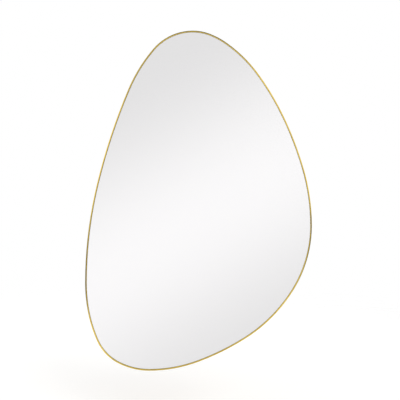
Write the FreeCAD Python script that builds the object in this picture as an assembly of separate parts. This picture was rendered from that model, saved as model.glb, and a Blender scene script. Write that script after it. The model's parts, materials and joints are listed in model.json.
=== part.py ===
import FreeCAD, Part

import math
import os
from collections import namedtuple

from FreeCAD import Vector

# Wall mirror with a pebble outline: a thin bent metal frame, silvered glass bonded to a board,
# and two ring hangers on the back.
# Millimetres. +Z is up, the glass faces -Y and the wall is the plane y = 0.
# The origin lies on the wall, midway between the two points where the rings bear on their hooks.

# Overall size and hanging places
MIRROR_WIDTH = 600.0
MIRROR_HEIGHT = 900.0
HANG_BELOW_TOP = 220.0
HANGER_SPACING = 260.0
WALL_GAP = 1.0

# Outline, counter-clockwise seen from the front: share of the half width, share of the half
# height, and the direction of travel in degrees on a square outline.
# Each pair of neighbours is joined by two tangent arcs.
OUTLINE_SHARES = (
    (1.000, -0.145, 90.0),
    (0.745, 0.505, 126.0),
    (0.245, 0.930, 155.0),
    (-0.050, 1.000, 180.0),
    (-0.620, 0.655, 237.5),
    (-1.000, -0.485, 270.0),
    (-0.895, -0.825, 304.0),
    (-0.435, -1.000, 0.0),
    (0.405, -0.815, 22.5),
)

# Frame: sheet metal folded to an L, front lip over the glass, then rolled round the outline
FRAME_DEPTH = 25.0
FRAME_FACE = 3.6
FRAME_SHEET = 1.6
FRAME_BEND_INSIDE = 0.8
FRAME_LIP_ROUND = 0.8
FRAME_RIM_EASE = 0.4

# Glass, its silver coat and the shims that hold it off the frame wall
GLASS_THICKNESS = 4.0
GLASS_CLEARANCE = 1.0
GLASS_ARRIS = 0.5
SILVER_THICKNESS = 0.1
SHIM_CLEARANCE = 0.5
SHIM_LENGTH = 24.0
SHIM_ARCS = (0, 3, 6, 9, 13, 15)

# Bonding tape between the silver and the board
TAPE_THICKNESS = 0.9
TAPE_WIDTH = 20.0
TAPE_EDGE_MARGIN = 30.0
TAPE_ACROSS_SHARES = (-0.68, -0.36, -0.04, 0.28, 0.60)

# Backing board
BOARD_THICKNESS = 9.0
BOARD_CLEARANCE = 0.2

# Tabs: strips welded inside the frame wall and folded over the back of the board
TAB_SHEET = 1.0
TAB_WIDTH = 16.0
TAB_WELD_LEG = 7.0
TAB_REACH = 20.0
TAB_BEND_INSIDE = 0.5
TAB_CORNER_ROUND = 4.0
TAB_HOLE_FROM_END = 7.0
TAB_ARCS = (1, 3, 6, 8, 9, 12, 15, 17)

# Pan-head wood screws for the tabs and the hangers
SCREW_SHANK_RADIUS = 1.5
SCREW_BITE = 7.0
SCREW_TIP = 2.0
SCREW_HEAD_RADIUS = 3.3
SCREW_HEAD_HEIGHT = 2.2
SCREW_HEAD_RIM = 0.7
CROSS_LENGTH = 3.6
CROSS_WIDTH = 0.9
CROSS_DEPTH = 1.2
PILOT_CLEARANCE = 0.05
PILOT_SPARE_DEPTH = 0.5
SCREW_HOLE_CLEARANCE = 0.5

# Hanger ring: round wire bent to a D, its straight bar turning in the strap's loop
RING_WIRE_RADIUS = 1.6
RING_BAR_HALF = 8.0
RING_CORNER = 3.5
RING_STOP_GAP = 0.3

# Hanger strap: a strip folded double round the ring's bar and screwed to the board
STRAP_SHEET = 1.2
STRAP_WIDTH = 13.0
STRAP_LENGTH = 31.0
STRAP_FOLD_GAP = 0.1
STRAP_NECK_BEND = 2.0
STRAP_END_ROUND = 6.0
STRAP_FIRST_HOLE = 9.0
STRAP_HOLE_SPACING = 15.0
LOOP_CLEARANCE = 0.05

# Rubber bumpers between the board and the wall
BUMPER_BASE_RADIUS = 10.0
BUMPER_TIP_RADIUS = 8.0
BUMPER_ROUND = 1.2
BUMPER_INSET = 45.0
BUMPER_ARCS = (3, 8, 13, 16)

OVERRUN = 1.0

# Depths of the layers, from the front to the wall
REAR_RIM = -WALL_GAP
FRAME_FRONT = REAR_RIM - FRAME_DEPTH
GLASS_FRONT = FRAME_FRONT + FRAME_SHEET
GLASS_BACK = GLASS_FRONT + GLASS_THICKNESS
TAPE_FRONT = GLASS_BACK + SILVER_THICKNESS
BOARD_FRONT = TAPE_FRONT + TAPE_THICKNESS
BOARD_BACK = BOARD_FRONT + BOARD_THICKNESS

# Distances in from the outer outline
GLASS_INSET = FRAME_SHEET + GLASS_CLEARANCE
TAB_BEND_OUTSIDE = TAB_BEND_INSIDE + TAB_SHEET
BOARD_INSET = FRAME_SHEET + TAB_BEND_OUTSIDE + BOARD_CLEARANCE
TAB_END_INSET = FRAME_SHEET + TAB_REACH

# Hanger geometry
LOOP_INSIDE = RING_WIRE_RADIUS + LOOP_CLEARANCE
LOOP_OUTSIDE = LOOP_INSIDE + STRAP_SHEET
STRAP_STACK = 2 * STRAP_SHEET + STRAP_FOLD_GAP
RING_AXIS_DEPTH = BOARD_BACK + LOOP_OUTSIDE
RING_BOW = RING_BAR_HALF + RING_CORNER
RING_REACH = RING_CORNER + RING_BOW
RING_LEAN = math.asin((LOOP_OUTSIDE - RING_WIRE_RADIUS - RING_STOP_GAP) / RING_REACH)
RING_AXIS_HEIGHT = -(RING_REACH - RING_WIRE_RADIUS) * math.cos(RING_LEAN)

ACROSS = Vector(1, 0, 0)
TO_WALL = Vector(0, 1, 0)
FULL_TURN = 360.0

Arc = namedtuple("Arc", "centre radius start turn")


def polar(degrees):
    angle = math.radians(degrees)
    return Vector(math.cos(angle), 0, math.sin(angle))


# Outline

def tangent_arc(start, heading, end):
    chord = end - start
    left = Vector(-heading.z, 0, heading.x)
    half_turn = math.atan2(chord.dot(left), chord.dot(heading))
    radius = chord.Length / (2 * math.sin(half_turn))
    spoke = left * -radius
    first = math.degrees(math.atan2(spoke.z, spoke.x))
    return Arc(start - spoke, radius, first, math.degrees(2 * half_turn))


def arc_pair(start, leave, end, arrive):
    chord = end - start
    both = leave + arrive
    spread = 2 * (1 - leave.dot(arrive))
    along = chord.dot(both)
    reach = (math.sqrt(along ** 2 + spread * chord.dot(chord)) - along) / spread
    first_handle = start + leave * reach
    second_handle = end - arrive * reach
    joint = (first_handle + second_handle) * 0.5
    through = (second_handle - first_handle).normalize()
    return [tangent_arc(start, leave, joint), tangent_arc(joint, through, end)]


def outline_arcs():
    half_width = MIRROR_WIDTH / 2
    half_height = MIRROR_HEIGHT / 2
    nodes = []
    for across, up, heading in OUTLINE_SHARES:
        place = Vector(across * half_width, 0, up * half_height)
        travel = polar(heading)
        nodes.append((place, Vector(travel.x * half_width, 0, travel.z * half_height).normalize()))
    arcs = []
    for (start, leave), (end, arrive) in zip(nodes, nodes[1:] + nodes[:1]):
        arcs += arc_pair(start, leave, end, arrive)
    return arcs


def on_arc(arc, degrees, inset, depth):
    point = arc.centre + polar(degrees) * (arc.radius - inset)
    return Vector(point.x, depth, point.z)


def middle(arc):
    return arc.start + arc.turn / 2


def outline_face(arcs, inset, depth):
    edges = []
    for arc in arcs:
        stops = (arc.start, middle(arc), arc.start + arc.turn)
        edges.append(Part.Arc(*[on_arc(arc, stop, inset, depth) for stop in stops]).toShape())
    return Part.Face(Part.Wire(edges))


# The hooks stand either side of the middle of the outline's area, so that the mirror hangs level
def hung_outline():
    arcs = outline_arcs()
    balance = outline_face(arcs, 0, 0).CenterOfMass
    shift = Vector(-balance.x, 0, HANG_BELOW_TOP - MIRROR_HEIGHT / 2)
    return [arc._replace(centre=arc.centre + shift) for arc in arcs], shift


OUTLINE, OUTLINE_CENTRE = hung_outline()


def sheet(inset, depth, thickness):
    return outline_face(OUTLINE, inset, depth).extrude(TO_WALL * thickness)


# Closed flat section through corners (u, v, rounding), each set in space by place(u, v)
def section(corners, place):
    ends = []
    for index, (u, v, rounding) in enumerate(corners):
        corner = Vector(u, v, 0)
        back, ahead = corners[index - 1], corners[(index + 1) % len(corners)]
        to_back = (Vector(back[0], back[1], 0) - corner).normalize()
        to_ahead = (Vector(ahead[0], ahead[1], 0) - corner).normalize()
        half = to_back.getAngle(to_ahead) / 2
        run = rounding / math.tan(half)
        inwards = (to_back + to_ahead).normalize()
        crown = corner + inwards * (rounding / math.sin(half) - rounding)
        ends.append((corner + to_back * run, crown, corner + to_ahead * run, rounding))
    edges = []
    for index, (first, crown, last, rounding) in enumerate(ends):
        leaving = ends[index - 1][2]
        edges.append(Part.makeLine(place(leaving.x, leaving.y), place(first.x, first.y)))
        if rounding:
            stops = [place(point.x, point.y) for point in (first, crown, last)]
            edges.append(Part.Arc(*stops).toShape())
    return Part.Face(Part.Wire(edges))


# A section of (inset, depth, rounding) carried along an arc of the outline
def bent_strip(corners, arc, start, turn):
    def place(inset, depth):
        return on_arc(arc, start, inset, depth)
    return section(corners, place).revolve(arc.centre, -TO_WALL, turn)


def bent_piece(corners, arc, length):
    turn = math.degrees(length / arc.radius)
    return bent_strip(corners, arc, middle(arc) - turn / 2, turn)


def turned(corners):
    def place(radius, depth):
        return Vector(radius, depth, 0)
    return section(corners, place).revolve(Vector(), TO_WALL, FULL_TURN)


def moved(shape, place):
    copy = shape.copy()
    copy.translate(place)
    return copy


def joined(pieces):
    return pieces[0].multiFuse(pieces[1:]).removeSplitter().Solids[0]


# Frame

def frame():
    corners = (
        (0, REAR_RIM, FRAME_RIM_EASE),
        (0, FRAME_FRONT, FRAME_SHEET + FRAME_BEND_INSIDE),
        (FRAME_FACE, FRAME_FRONT, FRAME_LIP_ROUND),
        (FRAME_FACE, GLASS_FRONT, 0),
        (FRAME_SHEET, GLASS_FRONT, FRAME_BEND_INSIDE),
        (FRAME_SHEET, REAR_RIM, FRAME_RIM_EASE),
    )
    return joined([bent_strip(corners, arc, arc.start, arc.turn) for arc in OUTLINE])


# Glass and what lies behind it

def mirror_glass():
    blank = sheet(GLASS_INSET, GLASS_FRONT, GLASS_THICKNESS)
    rims = []
    for edge in blank.Edges:
        first, last = [vertex.Point for vertex in edge.Vertexes]
        if math.isclose(first.y, last.y):
            rims.append(edge)
    return blank.makeChamfer(GLASS_ARRIS, rims)


def silver_coating():
    return sheet(GLASS_INSET + GLASS_ARRIS, GLASS_BACK, SILVER_THICKNESS)


# The shim is stuck to the edge of the glass and slides into the frame with room to spare
def glass_shim(arc):
    outer = FRAME_SHEET + SHIM_CLEARANCE
    front = GLASS_FRONT + GLASS_ARRIS
    back = GLASS_BACK - GLASS_ARRIS
    corners = (
        (outer, front, 0),
        (GLASS_INSET, front, 0),
        (GLASS_INSET, back, 0),
        (outer, back, 0),
    )
    return bent_piece(corners, arc, SHIM_LENGTH)


# The strip's ends are cut square where its nearer edge comes to the margin round the glass
def bond_tape(across_share):
    field = outline_face(OUTLINE, GLASS_INSET + TAPE_EDGE_MARGIN, TAPE_FRONT)
    left = OUTLINE_CENTRE.x + across_share * MIRROR_WIDTH / 2 - TAPE_WIDTH / 2
    low = field.BoundBox.ZMin
    high = field.BoundBox.ZMax
    for x in (left, left + TAPE_WIDTH):
        line = Part.makeLine(Vector(x, TAPE_FRONT, low), Vector(x, TAPE_FRONT, high))
        inside = line.common(field).BoundBox
        low = max(low, inside.ZMin)
        high = min(high, inside.ZMax)
    return Part.makeBox(TAPE_WIDTH, TAPE_THICKNESS, high - low, Vector(left, TAPE_FRONT, low))


# Screws, drawn with the head's seat at the origin and the point towards the front

def screw(grip):
    length = grip + SCREW_BITE
    dome = SCREW_HEAD_HEIGHT - SCREW_HEAD_RIM
    ball = (SCREW_HEAD_RADIUS ** 2 + dome ** 2) / (2 * dome)
    half_angle = math.asin(SCREW_HEAD_RADIUS / ball) / 2
    shoulder = SCREW_HEAD_HEIGHT - ball * (1 - math.cos(half_angle))
    crown = Part.Arc(
        Vector(SCREW_HEAD_RADIUS, SCREW_HEAD_RIM, 0),
        Vector(ball * math.sin(half_angle), shoulder, 0),
        Vector(0, SCREW_HEAD_HEIGHT, 0),
    )
    lower = [
        Vector(0, SCREW_HEAD_HEIGHT, 0),
        Vector(0, -length, 0),
        Vector(SCREW_SHANK_RADIUS, SCREW_TIP - length, 0),
        Vector(SCREW_SHANK_RADIUS, 0, 0),
        Vector(SCREW_HEAD_RADIUS, 0, 0),
        Vector(SCREW_HEAD_RADIUS, SCREW_HEAD_RIM, 0),
    ]
    edges = Part.makePolygon(lower).Edges + [crown.toShape()]
    body = Part.Face(Part.Wire(edges)).revolve(Vector(), TO_WALL, FULL_TURN)
    floor = SCREW_HEAD_HEIGHT - CROSS_DEPTH
    for width, height in ((CROSS_LENGTH, CROSS_WIDTH), (CROSS_WIDTH, CROSS_LENGTH)):
        corner = Vector(-width / 2, floor, -height / 2)
        body = body.cut(Part.makeBox(width, CROSS_DEPTH + OVERRUN, height, corner))
    return body


def screw_hole(place, depth):
    return Part.makeCylinder(SCREW_SHANK_RADIUS + SCREW_HOLE_CLEARANCE, depth, place, TO_WALL)


# Tabs, each at the middle of an arc of the outline

TABS = {number: OUTLINE[index] for number, index in enumerate(TAB_ARCS, 1)}


def tab_screw_place(arc):
    hole_inset = TAB_END_INSET - TAB_HOLE_FROM_END
    return on_arc(arc, middle(arc), hole_inset, BOARD_BACK)


def retaining_tab(arc):
    outer_face = BOARD_BACK + TAB_SHEET
    leg_start = BOARD_BACK - TAB_WELD_LEG
    leg_inner = FRAME_SHEET + TAB_SHEET
    corners = (
        (FRAME_SHEET, leg_start, 0),
        (FRAME_SHEET, outer_face, TAB_BEND_OUTSIDE),
        (TAB_END_INSET, outer_face, 0),
        (TAB_END_INSET, BOARD_BACK, 0),
        (leg_inner, BOARD_BACK, TAB_BEND_INSIDE),
        (leg_inner, leg_start, 0),
    )
    blank = bent_piece(corners, arc, TAB_WIDTH)
    end_radius = arc.radius - TAB_END_INSET
    end_edges = []
    for edge in blank.Edges:
        ends = [vertex.Point - arc.centre for vertex in edge.Vertexes]
        radii = [math.hypot(end.x, end.z) for end in ends]
        upright = not math.isclose(ends[0].y, ends[1].y)
        if upright and all(math.isclose(radius, end_radius) for radius in radii):
            end_edges.append(edge)
    rounded = blank.makeFillet(TAB_CORNER_ROUND, end_edges)
    hole_start = tab_screw_place(arc) - TO_WALL * OVERRUN
    return rounded.cut(screw_hole(hole_start, TAB_SHEET + 2 * OVERRUN))


def tab_screws():
    one = screw(TAB_SHEET)
    seats = [tab_screw_place(arc) + TO_WALL * TAB_SHEET for arc in TABS.values()]
    return Part.makeCompound([moved(one, seat) for seat in seats])


# Hangers: drawn round the ring's axis, with the axis at the origin

def hanger_places():
    half = HANGER_SPACING / 2
    return {side: Vector(sign * half, RING_AXIS_DEPTH, RING_AXIS_HEIGHT)
            for side, sign in (("left", -1), ("right", 1))}


def strap_hole_drops():
    return (STRAP_FIRST_HOLE, STRAP_FIRST_HOLE + STRAP_HOLE_SPACING)


def hanger_strap():
    top = STRAP_STACK - LOOP_OUTSIDE
    neck_depth = top + STRAP_NECK_BEND
    neck_height = -math.sqrt((LOOP_OUTSIDE + STRAP_NECK_BEND) ** 2 - neck_depth ** 2)
    neck = Vector(0, neck_depth, neck_height)
    neck_angle = math.degrees(math.atan2(neck_depth, neck_height))
    to_board = -FULL_TURN / 4

    def round_loop(radius, degrees):
        angle = math.radians(degrees)
        return Vector(0, radius * math.sin(angle), radius * math.cos(angle))

    def loop_arc(radius):
        stops = (to_board, (to_board + neck_angle) / 2, neck_angle)
        return Part.Arc(*[round_loop(radius, stop) for stop in stops]).toShape()

    def neck_arc(radius):
        meeting = neck_angle - FULL_TURN / 2
        stops = (meeting, (to_board + meeting) / 2, to_board)
        return Part.Arc(*[neck + round_loop(radius, stop) for stop in stops]).toShape()

    def flat_run(depth, start):
        return Part.makeLine(Vector(0, depth, start), Vector(0, depth, -STRAP_LENGTH))

    def end_edge(low, high):
        return Part.makeLine(Vector(0, low, -STRAP_LENGTH), Vector(0, high, -STRAP_LENGTH))

    edges = [
        flat_run(-LOOP_OUTSIDE, 0),
        loop_arc(LOOP_OUTSIDE),
        neck_arc(STRAP_NECK_BEND),
        flat_run(top, neck_height),
        end_edge(top, top - STRAP_SHEET),
        flat_run(top - STRAP_SHEET, neck_height),
        neck_arc(STRAP_NECK_BEND + STRAP_SHEET),
        loop_arc(LOOP_INSIDE),
        flat_run(-LOOP_INSIDE, 0),
        end_edge(-LOOP_INSIDE, -LOOP_OUTSIDE),
    ]
    blank = Part.Face(Part.Wire(edges)).extrude(ACROSS * STRAP_WIDTH)
    blank.translate(ACROSS * (-STRAP_WIDTH / 2))
    end_edges = []
    for edge in blank.Edges:
        ends = [vertex.Point for vertex in edge.Vertexes]
        upright = math.isclose(ends[0].x, ends[1].x)
        if upright and all(math.isclose(end.z, -STRAP_LENGTH) for end in ends):
            end_edges.append(edge)
    strap = blank.makeFillet(STRAP_END_ROUND, end_edges)
    for drop in strap_hole_drops():
        start = Vector(0, -LOOP_OUTSIDE - OVERRUN, -drop)
        strap = strap.cut(screw_hole(start, STRAP_STACK + 2 * OVERRUN))
    return strap


def hanger_ring():
    def wire(place, heading):
        return Part.Face(Part.Wire(Part.makeCircle(RING_WIRE_RADIUS, place, heading)))

    up = Vector(0, 0, 1)
    bar_end = ACROSS * RING_BAR_HALF
    corner = bar_end + up * RING_CORNER
    side = ACROSS * RING_BOW + up * RING_CORNER
    quarter = FULL_TURN / 4
    pieces = [
        wire(-bar_end, ACROSS).extrude(bar_end * 2),
        wire(bar_end, ACROSS).revolve(corner, -TO_WALL, quarter),
        wire(side, up).revolve(up * RING_CORNER, -TO_WALL, 2 * quarter),
        wire(-bar_end, ACROSS).revolve(corner - bar_end * 2, TO_WALL, quarter),
    ]
    ring = joined(pieces)
    ring.rotate(Vector(), ACROSS, math.degrees(RING_LEAN))
    return ring


def hanger_screw_seats():
    seats = []
    for place in hanger_places().values():
        for drop in strap_hole_drops():
            seats.append(Vector(place.x, BOARD_BACK + STRAP_STACK, place.z - drop))
    return seats


def hanger_screws():
    one = screw(STRAP_STACK)
    return Part.makeCompound([moved(one, seat) for seat in hanger_screw_seats()])


# Board, drilled for the screws

def backing_board():
    board = sheet(BOARD_INSET, BOARD_FRONT, BOARD_THICKNESS)
    mouths = [tab_screw_place(arc) for arc in TABS.values()]
    mouths += [Vector(seat.x, BOARD_BACK, seat.z) for seat in hanger_screw_seats()]
    radius = SCREW_SHANK_RADIUS + PILOT_CLEARANCE
    depth = SCREW_BITE + PILOT_SPARE_DEPTH
    for mouth in mouths:
        start = mouth + TO_WALL * OVERRUN
        board = board.cut(Part.makeCylinder(radius, depth + OVERRUN, start, -TO_WALL))
    return board


# Bumpers

def wall_bumper():
    height = -BOARD_BACK
    return turned((
        (0, 0, 0),
        (BUMPER_BASE_RADIUS, 0, 0),
        (BUMPER_TIP_RADIUS, height, BUMPER_ROUND),
        (0, height, 0),
    ))


def all_pieces():
    pieces = {
        "frame": frame(),
        "mirror_glass": mirror_glass(),
        "silver_coating": silver_coating(),
        "backing_board": backing_board(),
        "tab_screws": tab_screws(),
        "hanger_screws": hanger_screws(),
    }
    for number, index in enumerate(SHIM_ARCS, 1):
        pieces[f"glass_shim_{number}"] = glass_shim(OUTLINE[index])
    for number, across_share in enumerate(TAPE_ACROSS_SHARES, 1):
        pieces[f"bond_tape_{number}"] = bond_tape(across_share)
    for number, arc in TABS.items():
        pieces[f"retaining_tab_{number}"] = retaining_tab(arc)
    strap = hanger_strap()
    ring = hanger_ring()
    for side, place in hanger_places().items():
        pieces[f"hanger_strap_{side}"] = moved(strap, place)
        pieces[f"hanger_ring_{side}"] = moved(ring, place)
    bumper = wall_bumper()
    for number, index in enumerate(BUMPER_ARCS, 1):
        arc = OUTLINE[index]
        place = on_arc(arc, middle(arc), BUMPER_INSET, BOARD_BACK)
        pieces[f"wall_bumper_{number}"] = moved(bumper, place)
    return pieces


os.makedirs("parts", exist_ok=True)
for name, shape in all_pieces().items():
    shape.exportStep(os.path.join("parts", name + ".step"))
    box = shape.BoundBox
    print(name, len(shape.Solids), shape.isValid(), round(shape.Volume), box)
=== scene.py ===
import json
import math
import bpy
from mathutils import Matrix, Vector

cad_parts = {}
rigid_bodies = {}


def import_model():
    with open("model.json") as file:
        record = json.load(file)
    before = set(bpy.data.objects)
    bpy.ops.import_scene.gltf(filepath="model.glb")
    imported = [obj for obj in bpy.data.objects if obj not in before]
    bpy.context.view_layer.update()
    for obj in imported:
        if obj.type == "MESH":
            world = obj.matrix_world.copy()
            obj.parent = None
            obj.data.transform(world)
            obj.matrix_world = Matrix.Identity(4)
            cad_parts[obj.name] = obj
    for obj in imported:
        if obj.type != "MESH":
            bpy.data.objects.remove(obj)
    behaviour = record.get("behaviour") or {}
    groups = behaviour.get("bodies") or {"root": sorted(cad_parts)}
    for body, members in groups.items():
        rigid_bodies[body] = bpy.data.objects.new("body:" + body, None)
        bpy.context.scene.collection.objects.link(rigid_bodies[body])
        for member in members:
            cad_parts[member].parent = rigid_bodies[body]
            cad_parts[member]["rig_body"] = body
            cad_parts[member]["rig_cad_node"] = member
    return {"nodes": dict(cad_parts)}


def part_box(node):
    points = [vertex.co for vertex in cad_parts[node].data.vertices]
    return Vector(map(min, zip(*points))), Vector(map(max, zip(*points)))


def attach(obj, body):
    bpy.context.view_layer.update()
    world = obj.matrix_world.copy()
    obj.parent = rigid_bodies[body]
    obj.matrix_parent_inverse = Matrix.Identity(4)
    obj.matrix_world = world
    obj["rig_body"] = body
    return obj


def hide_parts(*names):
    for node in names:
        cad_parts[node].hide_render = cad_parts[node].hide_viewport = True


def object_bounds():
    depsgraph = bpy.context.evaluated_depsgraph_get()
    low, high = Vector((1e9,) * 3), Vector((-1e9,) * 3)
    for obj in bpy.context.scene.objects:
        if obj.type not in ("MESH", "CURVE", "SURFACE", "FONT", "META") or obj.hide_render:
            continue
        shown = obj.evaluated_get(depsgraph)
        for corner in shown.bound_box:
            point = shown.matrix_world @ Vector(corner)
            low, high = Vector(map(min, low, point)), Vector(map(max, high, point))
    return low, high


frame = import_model()
cadLow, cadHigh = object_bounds()
nodes = frame["nodes"]
mm = 0.001
samePoint = 0.001 * mm  # points nearer than this are one


def linear(hexColour):  # sRGB hex to the linear colour that shaders take
    parts = [int(hexColour[i:i + 2], 16) / 255 for i in (1, 3, 5)]
    return [c / 12.92 if c <= 0.04045 else ((c + 0.055) / 1.055) ** 2.4 for c in parts] + [1.0]


def perMetre(size):  # pattern scale for a feature of that many millimetres
    return 1 / (size * mm)


def addNode(tree, kind, settings=None, values=None, links=None, stops=None):
    node = tree.nodes.new(kind)
    for name, value in (settings or {}).items():
        setattr(node, name, value)
    for name, value in (values or {}).items():
        node.inputs[name].default_value = value
    for name, socket in (links or {}).items():
        tree.links.new(socket, node.inputs[name])
    if stops:
        spots = node.color_ramp.elements  # a new ramp has its two end stops already
        middle = [spots.new(place) for place, hexColour in stops[1:-1]]
        for spot, (place, hexColour) in zip([spots[0]] + middle + [spots[-1]], stops):
            spot.position = place
            spot.color = linear(hexColour)
    return node


def newFinish(name, values):
    finish = bpy.data.materials.new(name)
    finish.use_nodes = True
    tree = finish.node_tree
    shader = tree.nodes["Principled BSDF"]
    for socket, value in values.items():
        shader.inputs[socket].default_value = value
    place = addNode(tree, "ShaderNodeTexCoord").outputs["Object"]
    return finish, tree, shader, place


def dress(finish, names):
    for name in names:
        nodes[name].material_slots[0].material = finish


def named(start):
    return sorted(name for name in nodes if name.startswith(start))


def middleOf(name):
    low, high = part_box(name)
    return (low + high) / 2


noise = {"From Min": 0.3, "From Max": 0.7}  # what a noise pattern mostly spans

# In each finish, tones are colours by their place in a pattern, from 0 to 1, and sizes are millimetres.
# Brass plate, polished along the strip and lacquered: warm yellow, soft reflections, hair-fine streaks
brass = {"tones": ((0.0, "#D6B84C"), (1.0, "#E7CB60")), "toneSwing": 0.25, "cloud": 45.0,
         "streakLong": 60.0, "streakFine": 0.5, "smooth": 0.12, "dull": 0.23,
         "lacquer": 0.3, "lacquerDull": 0.1, "scratch": 0.008}


def lacqueredBrass():
    finish, tree, shader, place = newFinish("lacqueredBrass", {
        "Metallic": 1.0, "Coat Weight": brass["lacquer"], "Coat Roughness": brass["lacquerDull"]})
    clouds = addNode(tree, "ShaderNodeTexNoise", values={
        "Scale": perMetre(brass["cloud"]), "Detail": 3.0}, links={"Vector": place})
    long, fine = perMetre(brass["streakLong"]), perMetre(brass["streakFine"])
    along = addNode(tree, "ShaderNodeMapping", values={"Scale": (long, fine, long)}, links={"Vector": place})
    streaks = addNode(tree, "ShaderNodeTexNoise", values={"Scale": 1.0, "Detail": 4.0},
                      links={"Vector": along.outputs["Vector"]})
    both = addNode(tree, "ShaderNodeMath", {"operation": "ADD"}, links={
        0: clouds.outputs["Fac"], 1: streaks.outputs["Fac"]})  # two patterns, so 1 is their middle
    tone = addNode(tree, "ShaderNodeMapRange", values={
        "From Min": 1 - brass["toneSwing"], "From Max": 1 + brass["toneSwing"]},
        links={"Value": both.outputs["Value"]})
    colour = addNode(tree, "ShaderNodeValToRGB", links={"Fac": tone.outputs["Result"]}, stops=brass["tones"])
    tree.links.new(colour.outputs["Color"], shader.inputs["Base Color"])
    gloss = addNode(tree, "ShaderNodeMapRange", values={
        **noise, "To Min": brass["smooth"], "To Max": brass["dull"]}, links={"Value": streaks.outputs["Fac"]})
    tree.links.new(gloss.outputs["Result"], shader.inputs["Roughness"])
    relief = addNode(tree, "ShaderNodeBump", values={"Strength": 0.5, "Distance": brass["scratch"] * mm},
                     links={"Height": streaks.outputs["Fac"]})
    tree.links.new(relief.outputs["Normal"], shader.inputs["Normal"])
    return finish


# Clear float glass: colourless face on, green where light runs far through it, as at the rim
glass = {"clear": "#FFFFFF", "deep": "#4FDDB8", "soak": 1.6, "ior": 1.52}


def floatGlass():
    finish, tree = newFinish("floatGlass", {
        "Base Color": linear(glass["clear"]), "Roughness": 0.0, "IOR": glass["ior"],
        "Transmission Weight": 1.0})[:2]
    soak = addNode(tree, "ShaderNodeVolumeAbsorption", values={
        "Color": linear(glass["deep"]), "Density": glass["soak"]})
    tree.links.new(soak.outputs["Volume"], tree.nodes["Material Output"].inputs["Volume"])
    return finish


# Chemical silver on the back of the glass: a perfect mirror, faintly warm
silver = {"colour": "#FDFBFC", "bond": 0.02, "facing": 0.5}


def silverCoat():
    return newFinish("silverCoat", {
        "Base Color": linear(silver["colour"]), "Metallic": 1.0, "Roughness": 0.0})[0]


# Curtain-coated paint over the silver: grey, satin, slightly streaked along the line it ran down
paint = {"tones": ((0.35, "#777A79"), (0.65, "#8A8C8B")), "streak": 30.0, "fine": 3.0,
         "smooth": 0.4, "dull": 0.6}


def backingPaint():
    finish, tree, shader, place = newFinish("backingPaint", {})
    long, fine = perMetre(paint["streak"]), perMetre(paint["fine"])
    run = addNode(tree, "ShaderNodeMapping", values={"Scale": (fine, fine, long)}, links={"Vector": place})
    streaks = addNode(tree, "ShaderNodeTexNoise", values={"Scale": 1.0, "Detail": 3.0},
                      links={"Vector": run.outputs["Vector"]})
    tone = addNode(tree, "ShaderNodeValToRGB", links={"Fac": streaks.outputs["Fac"]}, stops=paint["tones"])
    tree.links.new(tone.outputs["Color"], shader.inputs["Base Color"])
    satin = addNode(tree, "ShaderNodeMapRange", values={"To Min": paint["smooth"], "To Max": paint["dull"]},
                    links={"Value": streaks.outputs["Fac"]})
    tree.links.new(satin.outputs["Result"], shader.inputs["Roughness"])
    return finish


# Medium density fibreboard, sanded: tan felt of short wood fibres laid every way, pale and dark flecks,
# faint sanding lines, routed rim darker
board = {"tones": ((0.1, "#9F8059"), (0.5, "#B0906A"), (0.9, "#BE9F78")), "toneSwing": 0.5,
         "rim": "#7A5C3C", "fleck": 5.0, "fibreWide": 0.25, "fibreLong": 2.2, "lay": (8, 44, 80, 116, 152),
         "mottle": 38.0, "mottleDark": 0.92, "mottlePale": 1.05, "sandingFine": 1.4, "sandingLong": 56.0,
         "smooth": 0.68, "dull": 0.9, "fuzz": 0.05}


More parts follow.
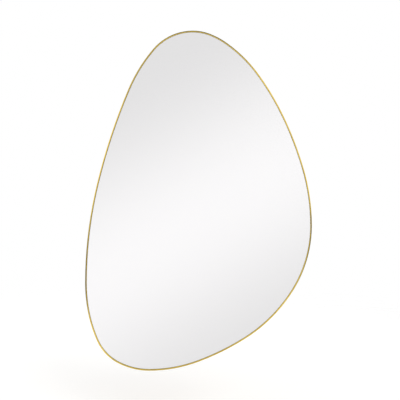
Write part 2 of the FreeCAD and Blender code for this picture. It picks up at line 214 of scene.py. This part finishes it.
def sandedFibreboard():
    finish, tree, shader, place = newFinish("sandedFibreboard", {"Specular IOR Level": 0.3})
    flecks = addNode(tree, "ShaderNodeTexNoise", values={  # clumps of fibre, drawn coarse enough to show
        "Scale": perMetre(board["fleck"]), "Detail": 9.0, "Roughness": 0.8}, links={"Vector": place})
    wide, long = board["fibreWide"] * mm, board["fibreLong"] * mm
    felted = flecks.outputs["Fac"]
    for lay in board["lay"]:  # short fibres, drawn coarser than they are, in every direction
        turned = addNode(tree, "ShaderNodeMapping", {"vector_type": "TEXTURE"}, values={
            "Rotation": (0, math.radians(lay), 0), "Scale": (wide, wide, long)}, links={"Vector": place})
        fibres = addNode(tree, "ShaderNodeTexNoise", values={"Scale": 1.0, "Detail": 1.0, "Distortion": 0.6},
                         links={"Vector": turned.outputs["Vector"]})
        felted = addNode(tree, "ShaderNodeMath", {"operation": "ADD"}, links={
            0: fibres.outputs["Fac"], 1: felted}).outputs["Value"]
    middle = (1 + len(board["lay"])) / 2  # of the patterns added up
    level = addNode(tree, "ShaderNodeMapRange", values={
        "From Min": middle - board["toneSwing"], "From Max": middle + board["toneSwing"]},
        links={"Value": felted})
    felt = addNode(tree, "ShaderNodeValToRGB", links={"Fac": level.outputs["Result"]}, stops=board["tones"])
    mottle = addNode(tree, "ShaderNodeTexNoise", values={
        "Scale": perMetre(board["mottle"]), "Detail": 3.0}, links={"Vector": place})
    shade = addNode(tree, "ShaderNodeMapRange", values={
        **noise, "To Min": board["mottleDark"], "To Max": board["mottlePale"]},
        links={"Value": mottle.outputs["Fac"]})
    toned = addNode(tree, "ShaderNodeVectorMath", {"operation": "SCALE"},
                    links={0: felt.outputs["Color"], "Scale": shade.outputs["Result"]})
    facing = addNode(tree, "ShaderNodeNewGeometry")
    split = addNode(tree, "ShaderNodeSeparateXYZ", links={"Vector": facing.outputs["Normal"]})
    flat = addNode(tree, "ShaderNodeMath", {"operation": "ABSOLUTE"}, links={0: split.outputs["Y"]})
    burnt = addNode(tree, "ShaderNodeMix", {"data_type": "RGBA"}, values={6: linear(board["rim"])},
                    links={0: flat.outputs["Value"], 7: toned.outputs["Vector"]})
    tree.links.new(burnt.outputs[2], shader.inputs["Base Color"])
    long, fine = perMetre(board["sandingLong"]), perMetre(board["sandingFine"])
    belt = addNode(tree, "ShaderNodeMapping", values={"Scale": (fine, fine, long)}, links={"Vector": place})
    lines = addNode(tree, "ShaderNodeTexNoise", values={"Scale": 1.0, "Detail": 2.0},
                    links={"Vector": belt.outputs["Vector"]})
    matt = addNode(tree, "ShaderNodeMapRange", values={"To Min": board["smooth"], "To Max": board["dull"]},
                   links={"Value": lines.outputs["Fac"]})
    tree.links.new(matt.outputs["Result"], shader.inputs["Roughness"])
    relief = addNode(tree, "ShaderNodeBump", values={"Strength": 0.6, "Distance": board["fuzz"] * mm},
                     links={"Height": level.outputs["Result"]})
    tree.links.new(relief.outputs["Normal"], shader.inputs["Normal"])
    return finish


# Bright zinc plate on steel, tumbled in the barrel: cool silvery grey, clouded, with fine scuffs
# and a trace of yellow from the passivation bath
# The last entry sets how far the painted shade reaches into recesses and folds, in millimetres
zinc = {"tones": ((0.35, "#B3B8BC"), (0.55, "#CDD1D4"), (0.75, "#C8C3A6")), "cloud": 5.0, "scuff": 0.35,
        "smooth": 0.2, "dull": 0.34, "pits": 0.004, "shadeReach": 1.2}


def zincPlate():
    finish, tree, shader, place = newFinish("zincPlate", {"Metallic": 1.0})
    clouds = addNode(tree, "ShaderNodeTexNoise", values={"Scale": perMetre(zinc["cloud"]), "Detail": 4.0},
                     links={"Vector": place})
    tone = addNode(tree, "ShaderNodeValToRGB", links={"Fac": clouds.outputs["Fac"]}, stops=zinc["tones"])
    recessShade = addNode(tree, "ShaderNodeAmbientOcclusion", {"samples": 4}, values={
        "Distance": zinc["shadeReach"] * mm},
        links={"Color": tone.outputs["Color"]})  # painted shade: ambient occlusion darkens the colour in recesses and folds
    tree.links.new(recessShade.outputs["Color"], shader.inputs["Base Color"])
    scuffs = addNode(tree, "ShaderNodeTexNoise", values={"Scale": perMetre(zinc["scuff"]), "Detail": 2.0},
                     links={"Vector": place})
    gloss = addNode(tree, "ShaderNodeMapRange", values={"To Min": zinc["smooth"], "To Max": zinc["dull"]},
                    links={"Value": scuffs.outputs["Fac"]})
    tree.links.new(gloss.outputs["Result"], shader.inputs["Roughness"])
    relief = addNode(tree, "ShaderNodeBump", values={"Strength": 0.5, "Distance": zinc["pits"] * mm},
                     links={"Height": scuffs.outputs["Fac"]})
    tree.links.new(relief.outputs["Normal"], shader.inputs["Normal"])
    return finish


# Cold rolled mild steel, left bare: mid grey with rolling lines, oil-dark patches
steel = {"tones": ((0.35, "#7B7D7F"), (0.6, "#A3A5A6")), "patch": 6.0, "lineFine": 0.5, "lineLong": 15.0,
         "smooth": 0.28, "dull": 0.48, "groove": 0.005}


def bareSteel():
    finish, tree, shader, place = newFinish("bareSteel", {"Metallic": 1.0})
    patches = addNode(tree, "ShaderNodeTexNoise", values={"Scale": perMetre(steel["patch"]), "Detail": 4.0},
                      links={"Vector": place})
    tone = addNode(tree, "ShaderNodeValToRGB", links={"Fac": patches.outputs["Fac"]}, stops=steel["tones"])
    tree.links.new(tone.outputs["Color"], shader.inputs["Base Color"])
    fine, long = perMetre(steel["lineFine"]), perMetre(steel["lineLong"])
    rolled = addNode(tree, "ShaderNodeMapping", values={"Scale": (fine, fine, long)}, links={"Vector": place})
    lines = addNode(tree, "ShaderNodeTexNoise", values={"Scale": 1.0},
                    links={"Vector": rolled.outputs["Vector"]})
    gloss = addNode(tree, "ShaderNodeMapRange", values={"To Min": steel["smooth"], "To Max": steel["dull"]},
                    links={"Value": lines.outputs["Fac"]})
    tree.links.new(gloss.outputs["Result"], shader.inputs["Roughness"])
    relief = addNode(tree, "ShaderNodeBump", values={"Strength": 0.4, "Distance": steel["groove"] * mm},
                     links={"Height": lines.outputs["Fac"]})
    tree.links.new(relief.outputs["Normal"], shader.inputs["Normal"])
    return finish


# Moulded rubber: near black, dry and matt, dusted a little paler in patches
rubber = {"tones": ((0.4, "#323234"), (0.75, "#4A4A4C")), "dust": 5.0, "smooth": 0.38, "dull": 0.7,
          "grain": 0.6, "depth": 0.03}


def mouldedRubber():
    finish, tree, shader, place = newFinish("mouldedRubber", {"Specular IOR Level": 0.5})
    dust = addNode(tree, "ShaderNodeTexNoise", values={"Scale": perMetre(rubber["dust"]), "Detail": 4.0},
                   links={"Vector": place})
    tone = addNode(tree, "ShaderNodeValToRGB", links={"Fac": dust.outputs["Fac"]}, stops=rubber["tones"])
    tree.links.new(tone.outputs["Color"], shader.inputs["Base Color"])
    matt = addNode(tree, "ShaderNodeMapRange", values={"To Min": rubber["smooth"], "To Max": rubber["dull"]},
                   links={"Value": dust.outputs["Fac"]})
    tree.links.new(matt.outputs["Result"], shader.inputs["Roughness"])
    grain = addNode(tree, "ShaderNodeTexNoise", values={"Scale": perMetre(rubber["grain"])},
                    links={"Vector": place})
    relief = addNode(tree, "ShaderNodeBump", values={"Strength": 0.5, "Distance": rubber["depth"] * mm},
                     links={"Height": grain.outputs["Fac"]})
    tree.links.new(relief.outputs["Normal"], shader.inputs["Normal"])
    return finish


# Closed cell foam tape: off-white skin full of tiny cells
foam = {"tones": ((0.1, "#CFCCC2"), (0.6, "#E4E2DA")), "cell": 0.9, "depth": 0.05, "dull": 0.8}


def foamTape():
    finish, tree, shader, place = newFinish("foamTape", {"Roughness": foam["dull"]})
    cells = addNode(tree, "ShaderNodeTexVoronoi", values={"Scale": perMetre(foam["cell"])},
                    links={"Vector": place})
    tone = addNode(tree, "ShaderNodeValToRGB", links={"Fac": cells.outputs["Distance"]}, stops=foam["tones"])
    tree.links.new(tone.outputs["Color"], shader.inputs["Base Color"])
    relief = addNode(tree, "ShaderNodeBump", values={"Distance": foam["depth"] * mm},
                     links={"Height": cells.outputs["Distance"]})
    tree.links.new(relief.outputs["Normal"], shader.inputs["Normal"])
    return finish


# Moulded polyethylene: milky, waxy, slightly uneven
shim = {"tones": ((0.35, "#DEDCD4"), (0.65, "#ECEBE6")), "wave": 4.0, "smooth": 0.35, "dull": 0.55,
        "ior": 1.51}


def milkyPolythene():
    finish, tree, shader, place = newFinish("milkyPolythene", {"IOR": shim["ior"]})
    waves = addNode(tree, "ShaderNodeTexNoise", values={"Scale": perMetre(shim["wave"])},
                    links={"Vector": place})
    tone = addNode(tree, "ShaderNodeValToRGB", links={"Fac": waves.outputs["Fac"]}, stops=shim["tones"])
    tree.links.new(tone.outputs["Color"], shader.inputs["Base Color"])
    gloss = addNode(tree, "ShaderNodeMapRange", values={"To Min": shim["smooth"], "To Max": shim["dull"]},
                    links={"Value": waves.outputs["Fac"]})
    tree.links.new(gloss.outputs["Result"], shader.inputs["Roughness"])
    return finish


dress(lacqueredBrass(), ["frame"])
dress(floatGlass(), ["mirror_glass"])
dress(sandedFibreboard(), ["backing_board"])
dress(bareSteel(), named("retaining_tab"))
dress(zincPlate(), named("hanger_") + ["tab_screws"])
dress(mouldedRubber(), named("wall_bumper"))
dress(foamTape(), named("bond_tape"))
dress(milkyPolythene(), named("glass_shim"))
print("finishes set on the CAD nodes")


def copyNode(name, pieceName):  # a merged copy of a CAD node's mesh, to work on
    bpy.ops.object.select_all(action="DESELECT")
    nodes[name].select_set(True)
    bpy.context.view_layer.objects.active = nodes[name]
    bpy.ops.object.duplicate()
    piece = bpy.context.view_layer.objects.active
    piece.name = piece.data.name = pieceName
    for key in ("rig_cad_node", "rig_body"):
        del piece[key]
    bpy.ops.object.mode_set(mode="EDIT")
    bpy.ops.mesh.select_all(action="SELECT")
    bpy.ops.mesh.remove_doubles(threshold=samePoint)
    bpy.ops.mesh.select_all(action="DESELECT")
    bpy.ops.object.mode_set(mode="OBJECT")
    return piece


def silverLayer():  # the coat bonds to the glass, so its face sits a hair inside it
    piece = copyNode("silver_coating", "silverLayer")
    halfway = middleOf("silver_coating").y
    for vertex in piece.data.vertices:
        vertex.select = vertex.co.y < halfway
    bpy.ops.object.mode_set(mode="EDIT")
    bpy.ops.transform.translate(value=(0, -silver["bond"] * mm, 0))
    bpy.ops.object.mode_set(mode="OBJECT")
    piece.material_slots[0].material = silverCoat()
    piece.data.materials.append(backingPaint())
    for face in piece.data.polygons:  # mirror to the glass, paint behind
        face.material_index = 0 if -face.normal.y > silver["facing"] else 1
    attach(piece, "mirror")
    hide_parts("silver_coating")


silverLayer()
print("silver layer bonded to the glass")

polish = {"crease": 35.0}  # edges sharper than this many degrees stay crisp


def brassFrame():  # the same frame with one even shading, so reflections run round it without a step
    piece = copyNode("frame", "brassFrame")
    bpy.ops.mesh.customdata_custom_splitnormals_clear()
    bpy.ops.object.shade_smooth_by_angle(angle=math.radians(polish["crease"]))
    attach(piece, "mirror")
    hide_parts("frame")


brassFrame()
print("frame polished")

# The frame's closing weld: a run of overlapping pools across the inside of the wall, plated over
seam = {"pools": 9, "pitch": 1.0, "long": 0.85, "wide": 2.0, "high": 0.5, "wall": 1.6, "rim": 1.0,
        "segments": 24, "rings": 16, "voxel": 0.1, "crease": 40.0}


def frameSeam():
    lowest = min(nodes["frame"].data.vertices, key=lambda vertex: vertex.co.z).co
    ground = lowest.z + seam["wall"] * mm
    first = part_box("frame")[1].y - seam["rim"] * mm
    bpy.ops.object.select_all(action="DESELECT")
    bpy.ops.mesh.primitive_uv_sphere_add(segments=seam["segments"], ring_count=seam["rings"], radius=mm,
                                         location=(lowest.x, first, ground))
    pool = bpy.context.object
    pool.name = pool.data.name = "frameSeam"
    pool.scale = (seam["wide"], seam["long"], seam["high"])
    bpy.ops.object.transform_apply(location=True, rotation=True, scale=True)
    bpy.ops.object.mode_set(mode="EDIT")
    for step in range(seam["pools"] - 1):
        bpy.ops.mesh.duplicate()
        bpy.ops.transform.translate(value=(0, -seam["pitch"] * mm, 0))
    bpy.ops.object.mode_set(mode="OBJECT")
    melt = pool.modifiers.new("melt", "REMESH")
    melt.mode = "VOXEL"
    melt.voxel_size = seam["voxel"] * mm
    bpy.ops.object.modifier_apply(modifier=melt.name)
    bpy.ops.object.mode_set(mode="EDIT")
    bpy.ops.mesh.select_all(action="SELECT")
    bpy.ops.mesh.bisect(plane_co=(0, 0, ground), plane_no=(0, 0, 1), clear_inner=True, use_fill=True,
                        threshold=samePoint)
    bpy.ops.mesh.select_all(action="SELECT")
    bpy.ops.mesh.normals_make_consistent(inside=False)
    bpy.ops.object.mode_set(mode="OBJECT")
    bpy.ops.object.shade_smooth_by_angle(angle=math.radians(seam["crease"]))
    pool.data.materials.append(nodes["frame"].material_slots[0].material)
    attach(pool, "mirror")


frameSeam()
print("closing weld laid inside the frame")

# Rubber feet: a taper with a rounded rim, and a shallow dish that grips the wall
foot = {"sides": 72, "tip": 8.0, "round": 1.2, "roundSteps": 5, "rest": 1.7, "slope": 0.9, "dish": 0.6,
        "edge": 0.3, "edgeSteps": 3, "near": 0.05, "crease": 40.0}


def chooseRing(mesh, centre, radius, depth):  # the vertices on one circle of the foot
    near = foot["near"] * mm
    bpy.ops.mesh.select_all(action="DESELECT")
    bpy.ops.object.mode_set(mode="OBJECT")
    for vertex in mesh.vertices:
        out = math.hypot(vertex.co.x - centre.x, vertex.co.z - centre.z)
        vertex.select = abs(out - radius) < near and abs(vertex.co.y - depth) < near
    bpy.ops.object.mode_set(mode="EDIT")


def mouldFoot(name):
    low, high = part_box(name)
    centre, tall, base = middleOf(name), high.y - low.y, (high.x - low.x) / 2
    bpy.ops.object.select_all(action="DESELECT")
    bpy.ops.mesh.primitive_circle_add(vertices=foot["sides"], radius=base, fill_type="NGON",
                                      location=(centre.x, low.y, centre.z), rotation=(-math.pi / 2, 0, 0))
    piece = bpy.context.object
    piece.name = piece.data.name = "rubberFoot" + name[-1]
    bpy.ops.object.transform_apply(location=True, rotation=True, scale=True)
    top = (centre.x, high.y, centre.z)
    taper = foot["tip"] * mm / base
    bpy.ops.object.mode_set(mode="EDIT")
    bpy.ops.mesh.select_all(action="SELECT")
    bpy.ops.mesh.extrude_region_move(TRANSFORM_OT_translate={"value": (0, tall, 0)})
    bpy.ops.transform.resize(value=(taper, 1, taper), center_override=top)
    bpy.ops.mesh.inset(thickness=foot["rest"] * mm)
    bpy.ops.mesh.inset(thickness=foot["slope"] * mm)
    bpy.ops.transform.translate(value=(0, -foot["dish"] * mm, 0))
    chooseRing(piece.data, centre, foot["tip"] * mm, high.y)
    bpy.ops.mesh.bevel(offset=foot["round"] * mm, segments=foot["roundSteps"], affect="EDGES")
    rimOfDish = foot["tip"] - foot["rest"]
    for radius, depth in ((rimOfDish, 0), (rimOfDish - foot["slope"], foot["dish"])):
        chooseRing(piece.data, centre, radius * mm, high.y - depth * mm)
        bpy.ops.mesh.bevel(offset=foot["edge"] * mm, segments=foot["edgeSteps"], affect="EDGES")
    bpy.ops.mesh.select_all(action="SELECT")
    bpy.ops.mesh.normals_make_consistent(inside=False)
    bpy.ops.object.mode_set(mode="OBJECT")
    bpy.ops.object.shade_smooth_by_angle(angle=math.radians(foot["crease"]))
    piece.data.materials.append(nodes[name].material_slots[0].material)
    return piece


def rubberFeet():
    names = named("wall_bumper")
    feet = [mouldFoot(names[0])]
    for before, name in zip(names, names[1:]):  # each copy is taken from the foot before it
        bpy.ops.object.duplicate()
        copy = bpy.context.object
        copy.name = copy.data.name = "rubberFoot" + name[-1]
        bpy.ops.object.mode_set(mode="EDIT")
        bpy.ops.mesh.select_all(action="SELECT")
        bpy.ops.transform.translate(value=middleOf(name) - middleOf(before))
        bpy.ops.object.mode_set(mode="OBJECT")
        feet.append(copy)
    for piece, name in zip(feet, names):
        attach(piece, "mirror")
        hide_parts(name)


rubberFeet()
print("rubber feet moulded")

# A pale floor, in metres, that fades out into the white room and keeps the mirror's shadow
floor = {"drop": 0.12, "radius": 3.0, "sides": 96, "fade": 0.8, "gone": 2.85, "cloud": 0.5,
         "tones": ((0.3, "#EEEEED"), (0.7, "#F2F2F1")), "dull": 0.7, "glow": 0.28, "glowColour": "#FFFFFF"}


def paleFloor():
    finish, tree, shader, place = newFinish("paleFloor", {
        "Roughness": floor["dull"], "Emission Color": linear(floor["glowColour"])})
    clouds = addNode(tree, "ShaderNodeTexNoise", values={"Scale": 1 / floor["cloud"], "Detail": 3.0},
                     links={"Vector": place})
    tone = addNode(tree, "ShaderNodeValToRGB", links={"Fac": clouds.outputs["Fac"]}, stops=floor["tones"])
    tree.links.new(tone.outputs["Color"], shader.inputs["Base Color"])
    rays = addNode(tree, "ShaderNodeLightPath")
    lift = addNode(tree, "ShaderNodeMath", {"operation": "MULTIPLY"}, values={1: floor["glow"]},
                   links={0: rays.outputs["Is Camera Ray"]})  # no light on the mirror comes from it
    tree.links.new(lift.outputs["Value"], shader.inputs["Emission Strength"])
    far = addNode(tree, "ShaderNodeVectorMath", {"operation": "LENGTH"}, links={0: place})
    gone = addNode(tree, "ShaderNodeMapRange", {"interpolation_type": "SMOOTHSTEP"}, values={
        "From Min": floor["fade"], "From Max": floor["gone"]}, links={"Value": far.outputs["Value"]})
    under = addNode(tree, "ShaderNodeNewGeometry")
    hidden = addNode(tree, "ShaderNodeMath", {"operation": "MAXIMUM"}, links={
        0: gone.outputs["Result"], 1: under.outputs["Backfacing"]})  # nothing to see from below
    clear = addNode(tree, "ShaderNodeBsdfTransparent")
    mixed = addNode(tree, "ShaderNodeMixShader", links={
        0: hidden.outputs["Value"], 1: shader.outputs["BSDF"], 2: clear.outputs["BSDF"]})
    tree.links.new(mixed.outputs["Shader"], tree.nodes["Material Output"].inputs["Surface"])
    return finish


def layFloor():
    bpy.ops.object.select_all(action="DESELECT")
    bpy.ops.mesh.primitive_circle_add(vertices=floor["sides"], radius=floor["radius"], fill_type="NGON",
                                      location=(0, 0, cadLow.z - floor["drop"]))
    ground = bpy.context.object
    ground.name = "studioFloor"
    ground.data.materials.append(paleFloor())
    ground.visible_transmission = False  # the glass shows the room's banded wall
    ground.visible_glossy = False  # and the metal the boards


# Soft slanting bands on the far wall, which the glass shows
bands = {"bright": 1.0, "grey": 0.79, "tilt": 60.0, "width": 0.418, "shift": -0.28}


def wallBands(tree, way):
    tilt = math.radians(bands["tilt"])
    across = addNode(tree, "ShaderNodeVectorMath", {"operation": "DOT_PRODUCT"},
                     values={1: (math.cos(tilt), 0, -math.sin(tilt))}, links={0: way})
    turns = addNode(tree, "ShaderNodeMath", {"operation": "MULTIPLY_ADD"}, values={
        1: 2 * math.pi / bands["width"], 2: bands["shift"]}, links={0: across.outputs["Value"]})
    wave = addNode(tree, "ShaderNodeMath", {"operation": "COSINE"}, links={0: turns.outputs["Value"]})
    tone = addNode(tree, "ShaderNodeMapRange", values={
        "From Min": -1.0, "From Max": 1.0, "To Min": bands["grey"], "To Max": bands["bright"]},
        links={"Value": wave.outputs["Value"]})
    return tone.outputs["Result"]


# Light and dark boards round the mirror, which the metal shows: greys by their angle from the right in
# degrees, upwards positive, and how bright the lightest is
boards = {"bright": 1.35, "greys": (
    (-180, "#404040"), (-176, "#080808"), (-164, "#080808"), (-157, "#FFFFFF"), (-128, "#FFFFFF"),
    (-110, "#E4E4E4"), (-88, "#CCCCCC"), (-58, "#E8E8E8"), (-48, "#FFFFFF"), (-38, "#FFFFFF"),
    (-24, "#808080"), (-14, "#080808"), (-1, "#080808"), (5, "#F4F4F4"), (14, "#FFFFFF"),
    (23, "#E0E0E0"), (30, "#FFFFFF"), (44, "#FFFFFF"), (53, "#909090"), (60, "#080808"),
    (96, "#080808"), (131, "#9C9C9C"), (148, "#C0C0C0"), (156, "#FFFFFF"), (170, "#FFFFFF"),
    (180, "#404040"))}
# What the boards leave open: a gap in the mirror's own plane, the wall behind and the space ahead, each
# from none of it to its full share as a direction turns towards the wall, from -1 to 1
openings = {"gap": {"tone": 0.62, "none": 0.32, "full": 0.12, "share": 0.7},
            "behind": {"tone": 0.9, "none": 0.5, "full": 0.97, "share": 1.0},
            "ahead": {"tone": 0.82, "none": -0.88, "full": -0.96, "share": 1.0}}


def boardTones(tree, way):
    split = addNode(tree, "ShaderNodeSeparateXYZ", links={"Vector": way})
    upright = addNode(tree, "ShaderNodeCombineXYZ", links={"X": split.outputs["X"], "Y": split.outputs["Z"]})
    turn = addNode(tree, "ShaderNodeTexGradient", {"gradient_type": "RADIAL"},
                   links={"Vector": upright.outputs["Vector"]})
    ring = addNode(tree, "ShaderNodeValToRGB", links={"Fac": turn.outputs["Fac"]},
                   stops=[(angle / 360 + 0.5, grey) for angle, grey in boards["greys"]])
    tone = addNode(tree, "ShaderNodeMath", {"operation": "MULTIPLY"}, values={1: boards["bright"]},
                   links={0: ring.outputs["Color"]}).outputs["Value"]
    level = addNode(tree, "ShaderNodeMath", {"operation": "ABSOLUTE"}, links={0: split.outputs["Y"]})
    for name, opening in openings.items():
        towards = level.outputs["Value"] if name == "gap" else split.outputs["Y"]
        amount = addNode(tree, "ShaderNodeMapRange", {"interpolation_type": "SMOOTHSTEP"}, values={
            "From Min": opening["none"], "From Max": opening["full"], "To Max": opening["share"]},
            links={"Value": towards})
        tone = addNode(tree, "ShaderNodeMix", {"data_type": "FLOAT"}, values={3: opening["tone"]}, links={
            0: amount.outputs["Result"], 2: tone}).outputs[0]
    return tone


room = {"glow": 0.62, "backdrop": 1.0, "colour": "#FFFFFF"}  # the room's light, and how white it looks


def whiteRoom():
    world = bpy.data.worlds.new("whiteRoom")
    bpy.context.scene.world = world
    world.use_nodes = True
    tree = world.node_tree
    way = addNode(tree, "ShaderNodeTexCoord").outputs["Generated"]
    rays = addNode(tree, "ShaderNodeLightPath")
    shown = addNode(tree, "ShaderNodeMix", {"data_type": "FLOAT"}, links={
        0: rays.outputs["Is Transmission Ray"], 2: boardTones(tree, way), 3: wallBands(tree, way)})
    shiny = addNode(tree, "ShaderNodeMath", {"operation": "MAXIMUM"}, links={
        0: rays.outputs["Is Glossy Ray"], 1: rays.outputs["Is Transmission Ray"]})
    lit = addNode(tree, "ShaderNodeMix", {"data_type": "FLOAT"}, values={2: room["glow"]}, links={
        0: shiny.outputs["Value"], 3: shown.outputs[0]})
    white = addNode(tree, "ShaderNodeMix", {"data_type": "FLOAT"}, values={3: room["backdrop"]}, links={
        0: rays.outputs["Is Camera Ray"], 2: lit.outputs[0]})
    background = tree.nodes["Background"]
    tree.links.new(white.outputs[0], background.inputs["Strength"])
    background.inputs["Color"].default_value = linear(room["colour"])


# Soft lamps, in metres, that neither the metal nor the glass shows
lamps = {"keySoftbox": {"place": (1.7, -2.7, 1.3), "size": 2.4, "watts": 42},
         "rearSoftbox": {"place": (-1.5, 2.8, 1.2), "size": 2.4, "watts": 42}}


def hangLamps(target):
    for name, lamp in lamps.items():
        bpy.ops.object.light_add(type="AREA", location=lamp["place"])
        light = bpy.context.object
        light.name = name
        light.data.size = lamp["size"]
        light.data.energy = lamp["watts"]
        light.rotation_euler = (target - light.location).to_track_quat("-Z", "Y").to_euler()
        light.visible_glossy = False
        light.visible_transmission = False


# The photograph: its size, and the object's height and middle in it, in pixels
photo = {"side": 400, "objectTall": 340.5, "middle": (198.5, 200.7)}
lens = {"away": 2.0, "sensor": 36.0}  # metres from the frame, and millimetres


def placeCamera():
    low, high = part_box("frame")
    middle = middleOf("frame")
    pixel = (high.z - low.z) / photo["objectTall"]
    field = photo["side"] * pixel
    aimX = middle.x + (photo["side"] / 2 - photo["middle"][0]) * pixel
    aimZ = middle.z - (photo["side"] / 2 - photo["middle"][1]) * pixel
    bpy.ops.object.camera_add(location=(aimX, low.y - lens["away"], aimZ), rotation=(math.pi / 2, 0, 0))
    camera = bpy.context.object
    camera.data.sensor_width = lens["sensor"]
    camera.data.lens = lens["sensor"] * lens["away"] / field
    bpy.context.scene.camera = camera


layFloor()
whiteRoom()
hangLamps((cadLow + cadHigh) / 2)
placeCamera()
bpy.context.scene.view_settings.view_transform = "Standard"
print("studio, lamps and camera placed")
